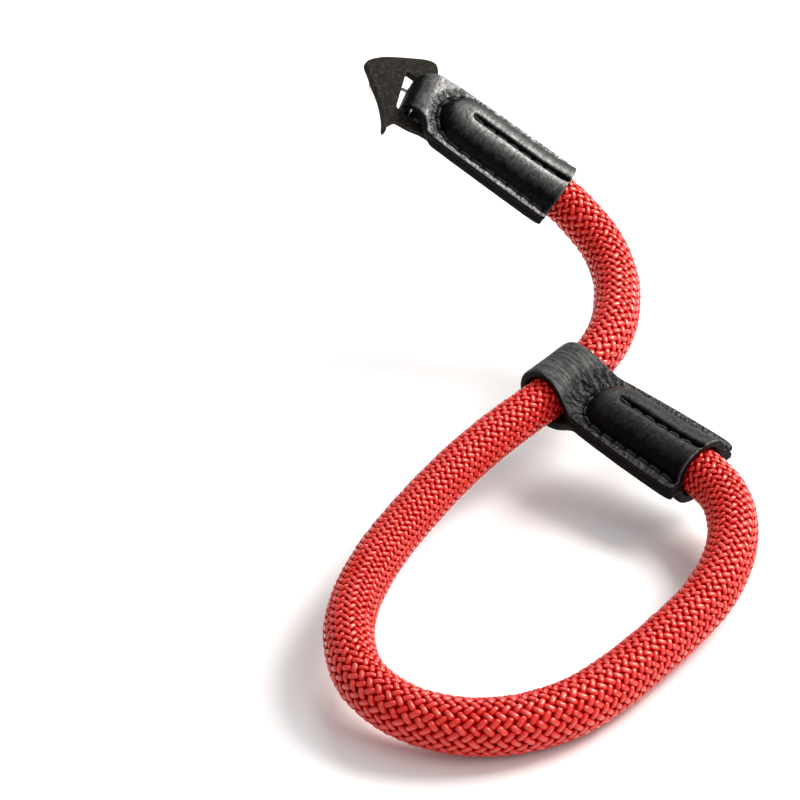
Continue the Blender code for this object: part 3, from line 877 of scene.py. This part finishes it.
def leather_grid(tab):
    """The strip's rows, its outer and inner grid of points, and the room left to its edges."""
    rows, run = strip_stations(tab)
    middle_x, middle_z, width, flare, puff, slant, top = np.split(rows, 7, axis=1)
    tangents = unit(np.gradient(rows[:, :2], run, axis=0))
    half_in, top_height = sleeve_sizes(flare, True)
    height_in = np.where(top > 0.5, top_height, sleeve_sizes(flare, False)[1]) - FIT / 2
    power = SLEEVE_POWER + flare * (MOUTH_POWER - SLEEVE_POWER)
    shares = np.array(COLUMNS + (1.0,) * len(FLANGE_COLUMNS))
    flanges = np.array((0.0,) * len(COLUMNS) + FLANGE_COLUMNS)
    profile = puff * np.maximum(1.0 - shares**2, 0.0) ** power

    def side(half, height, offset):
        y = shares * np.maximum(puff, LEAST_FOOT) * half
        y = y + flanges * (width - y)
        out = offset + height * profile
        y = np.hstack((-y[:, :0:-1], y))
        out = np.hstack((out[:, :0:-1], out))
        x = middle_x + tab.skew * slant * y - out * tangents[:, 1:]
        z = middle_z + tab.lean * slant * y + out * tangents[:, :1]
        return np.stack((x, y + tab.shift * slant, z), axis=-1), width - np.abs(y)

    outer, side_left = side(half_in + PUFF_WALL, height_in + PUFF_WALL - LEATHER, LEATHER / 2)
    inner, _ = side(half_in, height_in, -LEATHER / 2)
    end_left = np.minimum(run, run[-1] - run)[:, None]
    return rows, outer, inner, np.maximum(np.minimum(side_left, end_left), 0.0)


def grid_normals(grid):
    normals = np.cross(np.gradient(grid, axis=0), np.gradient(grid, axis=1))
    return normals / np.maximum(np.linalg.norm(normals, axis=2), 1e-12)[..., None]


def closed_rows(outer, inner, seed):
    """Each row as one closed ring: outer side, three points of cut edge, inner side, three more."""
    rims = []
    for column, sign in ((-1, 1.0), (0, -1.0)):
        for share in RIM_SHARES:
            rim = outer[:, column] * (1 - share) + inner[:, column] * share
            bulge = EDGE_BULGE * math.sin(math.pi * share)
            bulge = bulge + EDGE_ROUGH * wrinkles(rim, EDGE_ROUGH_SCALE, seed + 5)
            rims.append(rim + np.outer(bulge, (0.0, sign, 0.0)))
    return np.concatenate((outer, np.stack(rims[:3], axis=1), inner[:, ::-1],
                           np.stack(rims[3:][::-1], axis=1)), axis=1)


def cut_ends(outer, inner, size):
    """Points and faces of the strip's two ends, numbered on from the rings of that size."""
    count, columns = outer.shape[:2]
    points, faces = [], []
    for row, way in ((0, 1), (count - 1, -1)):
        first = row * size
        lines = [np.arange(first, first + columns)]
        for share, left, right in ((0.33, 1, 0), (0.67, 3, 2)):
            line = np.arange(columns) + count * size + columns * len(points)
            # The cut edges at the sides close the ends of each added line
            line[0] = first + size - left
            line[-1] = first + columns + right
            lines.append(line)
            points.append(outer[row] * (1 - share) + inner[row] * share + (END_BULGE, 0.0, 0.0))
        lines.append(np.arange(columns)[::-1] + first + columns + 3)
        for near, far in zip(lines, lines[1:]):
            quads = np.stack((near[:-1], near[1:], far[1:], far[:-1]), axis=-1)
            faces.extend(quads[:, ::way].tolist())
    return points, faces


def leather_values(tab, rows, outer, left, streaked, flange_sheen):
    """What the materials read: streaks round the loop, wear on edges and beside the stitches, painted
    sheen on the flange and the valley's lip, and painted shade in the stitch pits.
    """
    x, y = outer[..., 0], outer[..., 1]
    flare, top = rows[:, 3:4], rows[:, 6:7] > 0.5
    inset = tab.reach - x
    past = valley_end(tab) - inset
    out, around = seam_plane(tab, x, y, flare, True)
    wear_and_sheen = band(left, EDGE_WEAR) + band(out, SEAM_WEAR)
    # Painted sheen where light catches the crinkled flange and the valley's lip, on the folded tab only
    wear_and_sheen = wear_and_sheen + flange_sheen * band(out, FLANGE_SHEEN) * (around > FLANGE_SHEEN_START)
    wear_and_sheen = wear_and_sheen * np.where(x > 0.0, 1.0, 0.35)
    wear_and_sheen = wear_and_sheen + flange_sheen * band(y, VALLEY_LIP_SHEEN) * np.clip(
        1.15 - inset / valley_end(tab), 0.0, 1.0)
    streak = fade(out - STREAK_START, STREAK_FADE) * fade(STREAK_END - x, STREAK_RUN)
    # Which way is up is read on the top layer, some rows before the mouth
    facing = grid_normals(outer)[..., 2]
    facing = facing * np.sign(facing[FACING_ROW, facing.shape[1] // 2])
    # Painted shade: the pits are the seam's groove and holes, and the sewn valley
    pit = band(out, SEAM_PIT) * (0.45 + 0.55 * holes(around, DARK_HOLE_HALF)) * (x > PIT_START)
    valley = band(y, VALLEY_PIT) * (0.55 + 0.45 * holes(past, DARK_VALLEY_HOLE_HALF))
    pit = np.maximum(pit, valley * fade(past, PIT_FADE))
    return {"wear_and_sheen": wear_and_sheen * top, "streak": streak * streaked, "pit": pit * top,
            "polish": fade(facing - POLISH_START, POLISH_FADE) * top,
            "around": around * np.sign(y) / MM, "outside": out / MM}


def leather_piece(name, tab, placed, looks, creases, seed, streaked, flange_sheen):
    """One folded strip; its looks are those of the outer side, the cut edge and the inner side."""
    rows, outer, inner, left = leather_grid(tab)
    count, columns = outer.shape[:2]
    middle = columns // 2
    normals = grid_normals(outer)
    if np.sum(normals[:, middle] * (outer[:, middle] - inner[:, middle])) < 0.0:
        normals = -normals
    relief = leather_relief(tab, rows, outer, left, creases, seed)
    inward = EDGE_ROUND - np.minimum(left, EDGE_ROUND)
    drop = EDGE_ROUND - np.sqrt(np.maximum(EDGE_ROUND**2 - inward**2, 0.0))
    outer = outer + normals * (relief - drop)[..., None]
    inner = inner + normals * (0.6 * drop)[..., None]
    rings = closed_rows(outer, inner, seed)
    size = rings.shape[1]
    # Which of the looks each face has
    kinds = np.ones((count - 1, size), dtype=int)
    kinds[:, :columns - 1] = 0
    kinds[:, columns + 3:2 * columns + 2] = 2
    end_points, end_faces = cut_ends(outer, inner, size)
    verts = np.vstack([rings.reshape(-1, 3)] + end_points)
    values = {}
    for key, column in leather_values(tab, rows, outer, left, streaked, flange_sheen).items():
        spread = np.zeros((count, size))
        spread[:, :columns] = column
        values[key] = np.concatenate((spread.reshape(-1), np.zeros(len(verts) - spread.size)))
    piece = mesh_object(name, verts, grid_faces(count, size, closed=True) + end_faces, looks,
                        kinds.reshape(-1).tolist() + [1] * len(end_faces), values, placed)
    clean_mesh(piece)
    return piece


# Stitches

def stitch_ends(tab, top):
    """Pairs of points in the seam's plane between which one stitch lies."""
    straight, end = sleeve_run(tab, top)
    foot = sleeve_run(tab, True)[1]
    bend = (foot + end) / 2 + STITCH_OUT
    quarter = bend * math.pi / 2

    def at(run, side):
        if run < quarter:
            past = (foot + STITCH_OUT) * math.cos(run / bend) * end / foot
            return tab.reach - straight - past, side * (foot + STITCH_OUT) * math.sin(run / bend)
        inset = straight - (run - quarter)
        half = sleeve_sizes(flare_at(inset, tab), top)[0]
        return tab.reach - inset, side * (half + PUFF_WALL + STITCH_OUT)

    pairs = []
    for side in (1.0, -1.0):
        run = 0.0
        while run + STITCH_PITCH < quarter + straight - SEAM_CLEAR:
            pairs.append((at(run, side), at(run + STITCH_PITCH, side)))
            run += STITCH_PITCH
    x = tab.reach - valley_end(tab)
    while x + STITCH_PITCH < tab.reach - VALLEY_CLEAR:
        pairs.append(((x, 0.0), (x + STITCH_PITCH, 0.0)))
        x += STITCH_PITCH
    return pairs


def stitches(name, tab, strip, placed, look):
    """The thread of one tab: each stitch lies in its groove and dives into its two holes."""
    tree = BVHTree.FromPolygons([v.co for v in strip.data.vertices],
                                [tuple(p.vertices) for p in strip.data.polygons])
    share = np.linspace(0.0, 1.0, THREAD_ROWS)
    to_hole = np.abs(2 * share - 1)
    lift = THREAD_D * (0.42 - 1.5 * to_hole**7)
    radius = THREAD_D / 2 * (1.0 - 0.35 * to_hole**6)
    verts, faces = [], []
    for top in (True, False):
        out = 1.0 if top else -1.0
        for start, end in stitch_ends(tab, top):
            hits = [tree.ray_cast(Vector((x, y, tab.rise + out * RAY_START)), Vector((0, 0, -out)))[0]
                    for x, y in np.outer(1 - share, start) + np.outer(share, end)]
            if any(hit is None for hit in hits):
                continue
            points = np.array([tuple(hit) for hit in hits])
            # Half way from the leather up to a straight line over it, and lifted a little
            leather = out * points[:, 2]
            line = np.interp(share, (0.0, 1.0), leather[[1, -2]])
            points[:, 2] = out * (0.5 * leather + 0.5 * np.maximum(line, leather) + lift)
            faces.extend(tube_faces(THREAD_ROWS, THREAD_SIDES, len(verts)))
            verts.extend(round_path(points, radius, *frames_along(points), THREAD_SIDES))
    count = len(verts) // (THREAD_ROWS * THREAD_SIDES)
    values = {"along": np.tile(np.repeat(share, THREAD_SIDES), count),
              "across": np.tile(np.arange(THREAD_SIDES) / THREAD_SIDES, THREAD_ROWS * count)}
    made = mesh_object(name, verts, faces, [look], values=values, placed=placed)
    clean_mesh(made)
    return made


# Rope

def in_sleeve(placed, tab, depth):
    """Points on the rope's middle in a sleeve, from its inner end to the mouth."""
    return [tuple(placed @ Vector((tab.reach - share * depth, 0.0, tab.rise + ROPE_LIFT)))
            for share in (1.0, 0.75, 0.5, 0.25, 0.05)]


def sewn_radius(inset, tab):
    """The rope's radius in a sleeve, some way in from the mouth."""
    return (SEWN_ROPE_D + flare_at(inset, tab) * (MOUTH_SWELL * ROPE_D - SEWN_ROPE_D)) / 2


def rope_radii(run, camera_tab, slider_tab):
    """The rope's radius along its run: thinner where a tab is sewn over it."""
    to_end = run[-1] - run
    shares, swells = np.array(ROPE_SWELL).T
    free = np.interp(run / run[-1], shares, swells) * ROPE_D / 2
    in_slider = sewn_radius(SLIDER_ROPE_INSET - to_end, slider_tab)
    in_camera = sewn_radius(CAMERA_ROPE_INSET - run, camera_tab)
    return np.where(run < CAMERA_ROPE_INSET, in_camera,
                    np.where(to_end < SLIDER_ROPE_INSET, in_slider, free))


def braid_places(length):
    """Each stroke's lane, its place along the rope and the lane's step there."""
    fine = np.linspace(CAMERA_ROPE_INSET - BRAID_HIDDEN,
                       length - SLIDER_ROPE_INSET + BRAID_HIDDEN, BRAID_SAMPLES)
    shares, sizes = np.array(BRAID_STEPS).T
    steps = np.interp(fine / length, shares, sizes * MM)
    turns = np.concatenate(([0.0], np.cumsum(np.diff(fine) * 2 / (steps[1:] + steps[:-1]))))
    lanes, places = [], []
    for lane in range(LANES):
        phase = LANE_PHASES[lane % 2]
        turned = np.arange(int(turns[-1] - phase) + 1) + phase
        lanes.extend([lane] * len(turned))
        places.extend(np.interp(turned, turns, fine))
    return np.array(lanes), np.array(places), np.interp(places, fine, steps)


def braid_strokes(lanes, places, steps):
    """The strokes' points as place, angle and depth below the rope's surface, and their values."""
    rng = np.random.default_rng(7)
    wobble = rng.normal(0.0, 1.0, (len(lanes), 4)).T[:, :, None, None]
    lanes, places, steps = (column[:, None, None] for column in (lanes, places, steps))
    lane_angle = 2 * math.pi / LANES
    u = np.linspace(-1.0, 1.0, STROKE_QUADS[0] + 1)[:, None]
    v = np.sin(np.linspace(-1.0, 1.0, STROKE_QUADS[1] + 1) * math.pi / 2.35)
    v = v / v.max()
    slant = np.arctan2(STROKE_TILT * ROPE_D / 2 * lane_angle, steps)
    along = u * (1.0 + LENGTH_WOBBLE * wobble[1])
    beside = v * steps * np.sin(slant) / 2 * STROKE_FILL * (1.0 + FILL_WOBBLE * wobble[0])
    # A stroke is narrower where it dives under its neighbours
    beside = beside * (1.0 - STROKE_TAPER * np.abs(u) ** 4)
    at = places + along * STROKE_REACH * steps / 2 - beside * np.sin(slant)
    turn = (along * STROKE_REACH * STROKE_TILT * lane_angle / 2
            + beside * np.cos(slant) / (ROPE_D / 2))
    angle = (lanes + 0.25) * lane_angle + np.where(lanes % 2 == 0, turn, -turn)
    crown = STROKE_CROWN * (1.0 - np.sqrt(1.0 - (STROKE_ROUND * v) ** 2))
    past = np.maximum(np.abs(along) - STROKE_LEVEL, 0.0) / (1.0 - STROKE_LEVEL)
    sink = crown + STROKE_DIVE * past**2 - STROKE_LIFT + STROKE_UNEVEN * np.abs(wobble[2])
    rise = np.clip(1.0 - sink / (STROKE_CROWN + STROKE_DIVE), 0.0, 1.0)
    shade = np.clip(0.5 + SHADE_WOBBLE * wobble[3], 0.0, 1.0)
    return at, angle, sink, {"rise": rise, "along": u, "across": v, "shade": shade}


def rope_piece(camera_placed, camera_tab, slider_placed, slider_tab, look):
    """The braided rope, with points along its middle and its length."""
    start = in_sleeve(camera_placed, camera_tab, CAMERA_ROPE_INSET)
    end = in_sleeve(slider_placed, slider_tab, SLIDER_ROPE_INSET)
    free = [[MM * value for value in point] for point in ROPE_ROUTE]
    curve = smooth_curve(start + free + end[::-1], ROPE_CURVE_STEPS)
    curve_run = run_along(curve)
    length = curve_run[-1]
    run = np.linspace(0.0, length, ROPE_ROWS)
    path = sampled(run, curve_run, curve)
    radii = rope_radii(run, camera_tab, slider_tab)
    known = np.column_stack((path, *frames_along(path), radii))

    def on_rope(at, angle, sink):
        middle, side, up, radius = np.split(sampled(at, run, known), (3, 6, 9), axis=-1)
        way = np.cos(angle)[..., None] * side + np.sin(angle)[..., None] * up
        return (middle + (radius[..., 0] - sink)[..., None] * way).reshape(-1, 3)

    # Core, seen only in the pits between strokes
    core_at = np.linspace(0.0, length, CORE_ROWS)[:, None]
    core = on_rope(core_at, 2 * math.pi * np.arange(CORE_SIDES) / CORE_SIDES, CORE_SINK)
    faces = tube_faces(CORE_ROWS, CORE_SIDES)
    lanes, places, steps = braid_places(length)
    at, angle, sink, shown = braid_strokes(lanes, places, steps)
    one = np.array(grid_faces(*sink.shape[1:]))
    for i, lane in enumerate(lanes):
        quads = one if lane % 2 == 0 else one[:, ::-1]
        faces.extend((quads + len(core) + i * sink[0].size).tolist())
    values = {}
    for key, column in shown.items():
        column = np.broadcast_to(column, sink.shape).reshape(-1)
        values[key] = np.concatenate((np.zeros(len(core)), column))
    verts = np.vstack((core, on_rope(at, angle, sink)))
    return mesh_object("braided_rope", verts, faces, [look], values=values), path[::5], length


# Ring and flap

def ring_points():
    """The middle of the ring's wire: wide in the fold, narrow where the camera's lug holds it."""
    half = (RING_WIDTH - RING_WIRE_D) / 2
    side = [(share * RING_DROP, width * half) for share, width in RING_SIDE]
    outline = side + [(RING_DROP, 0.0)] + [(x, -y) for x, y in side[::-1]]
    points = []
    for x, y in smooth_curve(outline, 9, closed=True):
        share = x / RING_DROP
        skew = CAMERA_FOLD_SKEW * y * (1 - share)
        across = y + CAMERA_FOLD_SHIFT * (1 - share) + RING_APEX_SHIFT * share
        points.append((skew - x, across, -RING_RISE * share))
    return np.array(points)


def ring_piece(placed, look):
    """The ring's wire, a closed tube: its last faces join the first points again."""
    points = ring_points()
    tangents = unit(np.roll(points, -1, axis=0) - np.roll(points, 1, axis=0))
    side = unit(np.cross(tangents, (0.0, 0.0, 1.0)))
    verts = round_path(points, RING_WIRE_D / 2, side, np.cross(side, tangents), RING_SIDES)
    faces = np.array(grid_faces(len(points) + 1, RING_SIDES, closed=True)) % len(verts)
    piece = mesh_object("ring_wire", verts, faces, [look], placed=placed)
    clean_mesh(piece)
    return piece


def rounded(corners, radius, steps=6):
    """A closed outline with its corners rounded off."""
    made = []
    for i, corner in enumerate(corners):
        here = Vector(corner)
        before, after = Vector(corners[i - 1]), Vector(corners[(i + 1) % len(corners)])
        start = here + (before - here).normalized() * radius
        end = here + (after - here).normalized() * radius
        for t in np.arange(steps + 1) / steps:
            made.append(start.lerp(here, t).lerp(here.lerp(end, t), t))
    return made


def slot_corners(tab):
    """The slot's corners, round the strip's under leg where it meets the flap's top."""
    leg = np.array(neck_stations(tab, tab.under, loop_stations(tab)[0],
                                 sleeve_stations(tab, False)[-1], False))
    leg_at, leg_half = sampled(FLAP_LIFT + FLAP_THICK, leg[:, 1], leg[:, (0, 2)])
    wall = LEATHER / 2
    away = tab.shift + leg_half + SLOT_FAR_EASE
    near = tab.shift - leg_half - SLOT_SEEN_EASE
    right = leg_at + wall + SLOT_SEEN_EASE
    left = -tab.radius - wall - SLOT_EASE
    return ((left + tab.skew * near + SLOT_PINCH, near), (right + tab.skew * near, near),
            (right + tab.skew * away, away), (left + tab.skew * away - SLOT_GAPE, away))


def flap_piece(tab, placed, look):
    """The flap: a flat plate with softly rounded cut edges and a slanting slot."""
    data = bpy.data.curves.new("suede_flap", "CURVE")
    data.dimensions = "2D"
    data.fill_mode = "BOTH"
    data.extrude = FLAP_THICK / 2 - FLAP_EDGE
    data.bevel_depth = FLAP_EDGE
    data.bevel_resolution = 3
    data.offset = -FLAP_EDGE
    corners = [(x * FLAP_LENGTH, y * FLAP_WIDTH) for x, y in FLAP_OUTLINE]
    outline = smooth_curve(corners, 6, closed=True) + np.array(FLAP_MIDDLE)
    for points in (outline, rounded(slot_corners(tab), SLOT_ROUND)):
        spline = data.splines.new("POLY")
        spline.points.add(len(points) - 1)
        spline.use_cyclic_u = True
        for made, at in zip(spline.points, points):
            made.co = (at[0], at[1], 0.0, 1.0)
    shape = add_object("suede_flap_curve", data)
    bpy.context.view_layer.update()
    solved = shape.evaluated_get(bpy.context.evaluated_depsgraph_get())
    mesh = bpy.data.meshes.new_from_object(solved)
    bpy.data.objects.remove(shape, do_unlink=True)
    mesh.name = "suede_flap"
    mesh.materials.clear()
    mesh.materials.append(look)
    mesh.shade_smooth()
    mesh.set_sharp_from_angle(angle=math.radians(40))
    middle = Matrix.Translation((0.0, 0.0, FLAP_LIFT + FLAP_THICK / 2))
    return add_object("suede_flap", mesh, placed @ middle)


# Putting it together

camera_tab = Tab(reach=CAMERA_TAB_REACH, mouth=CAMERA_TAB_WIDTH, root=CAMERA_ROOT_WIDTH,
                 loop=CAMERA_FOLD_WIDTH, rise=CAMERA_SEAM_RISE,
                 radius=RING_WIRE_D / 2 + FIT + LEATHER / 2, squash=1.0, start=0.0,
                 under=CAMERA_UNDER_NECK, over=CAMERA_OVER_NECK,
                 puff=CAMERA_PUFF_LENGTH, skew=CAMERA_FOLD_SKEW,
                 shift=CAMERA_FOLD_SHIFT, lean=0.0)
slider_tab = Tab(reach=SLIDER_TAB_REACH, mouth=SLIDER_TAB_WIDTH, root=SLIDER_ROOT_WIDTH,
                 loop=SLIDER_EYE_WIDTH, rise=SLIDER_SEAM_RISE,
                 radius=EYE_SWELL * ROPE_D / 2 + EYE_EASE + LEATHER / 2, squash=EYE_SQUASH,
                 start=-90.0, under=SLIDER_UNDER_NECK, over=SLIDER_OVER_NECK,
                 puff=SLIDER_PUFF_LENGTH, skew=0.0, shift=0.0, lean=SLIDER_EYE_LEAN)
bar_at = Vector((RING_DROP - RING_WIRE_D / 2, -RING_APEX_SHIFT, RING_RISE))
camera_placed = tab_axes(CAMERA_TAB_ALONG, CAMERA_TAB_FACE) @ Matrix.Translation(bar_at)
slider_placed = (Matrix.Translation(SLIDER_EYE_AT)
                 @ tab_axes(SLIDER_TAB_ALONG, SLIDER_TAB_FACE))

add_camera()
rope, rope_path, rope_length = rope_piece(camera_placed, camera_tab, slider_placed, slider_tab,
                                          rope_look())
add_studio()

edge = edge_look()
flesh = flesh_look()
thread = thread_look()
camera_leather = leather_look("black_leather", False)
slider_leather = leather_look("black_leather_creased", True)
# The folded tab gets painted sheen on its flange and the valley's lip
camera_strip = leather_piece("folded_tab", camera_tab, camera_placed,
                             [camera_leather, edge, flesh], creases=(0.00012, 0.0022), seed=1.7,
                             streaked=False, flange_sheen=0.9)
slider_strip = leather_piece("sliding_tab", slider_tab, slider_placed,
                             [slider_leather, edge, flesh], creases=(0.00024, 0.0042), seed=4.3,
                             streaked=True, flange_sheen=0.0)
camera_thread = stitches("folded_tab_stitches", camera_tab, camera_strip, camera_placed, thread)
slider_thread = stitches("sliding_tab_stitches", slider_tab, slider_strip, slider_placed, thread)
ring = ring_piece(camera_placed, metal_look())
flap = flap_piece(camera_tab, camera_placed, suede_look())

for piece, node, slot in ((rope, "rope", "red_rope"), (camera_strip, "camera_tab", "black_leather"),
                          (slider_strip, "slider_tab", "black_leather"),
                          (ring, "lug_ring", "ring_steel"), (flap, "guard_flap", "dark_suede")):
    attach(piece, "root")
    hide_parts(node)
for piece in (camera_thread, slider_thread):
    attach(piece, "root")
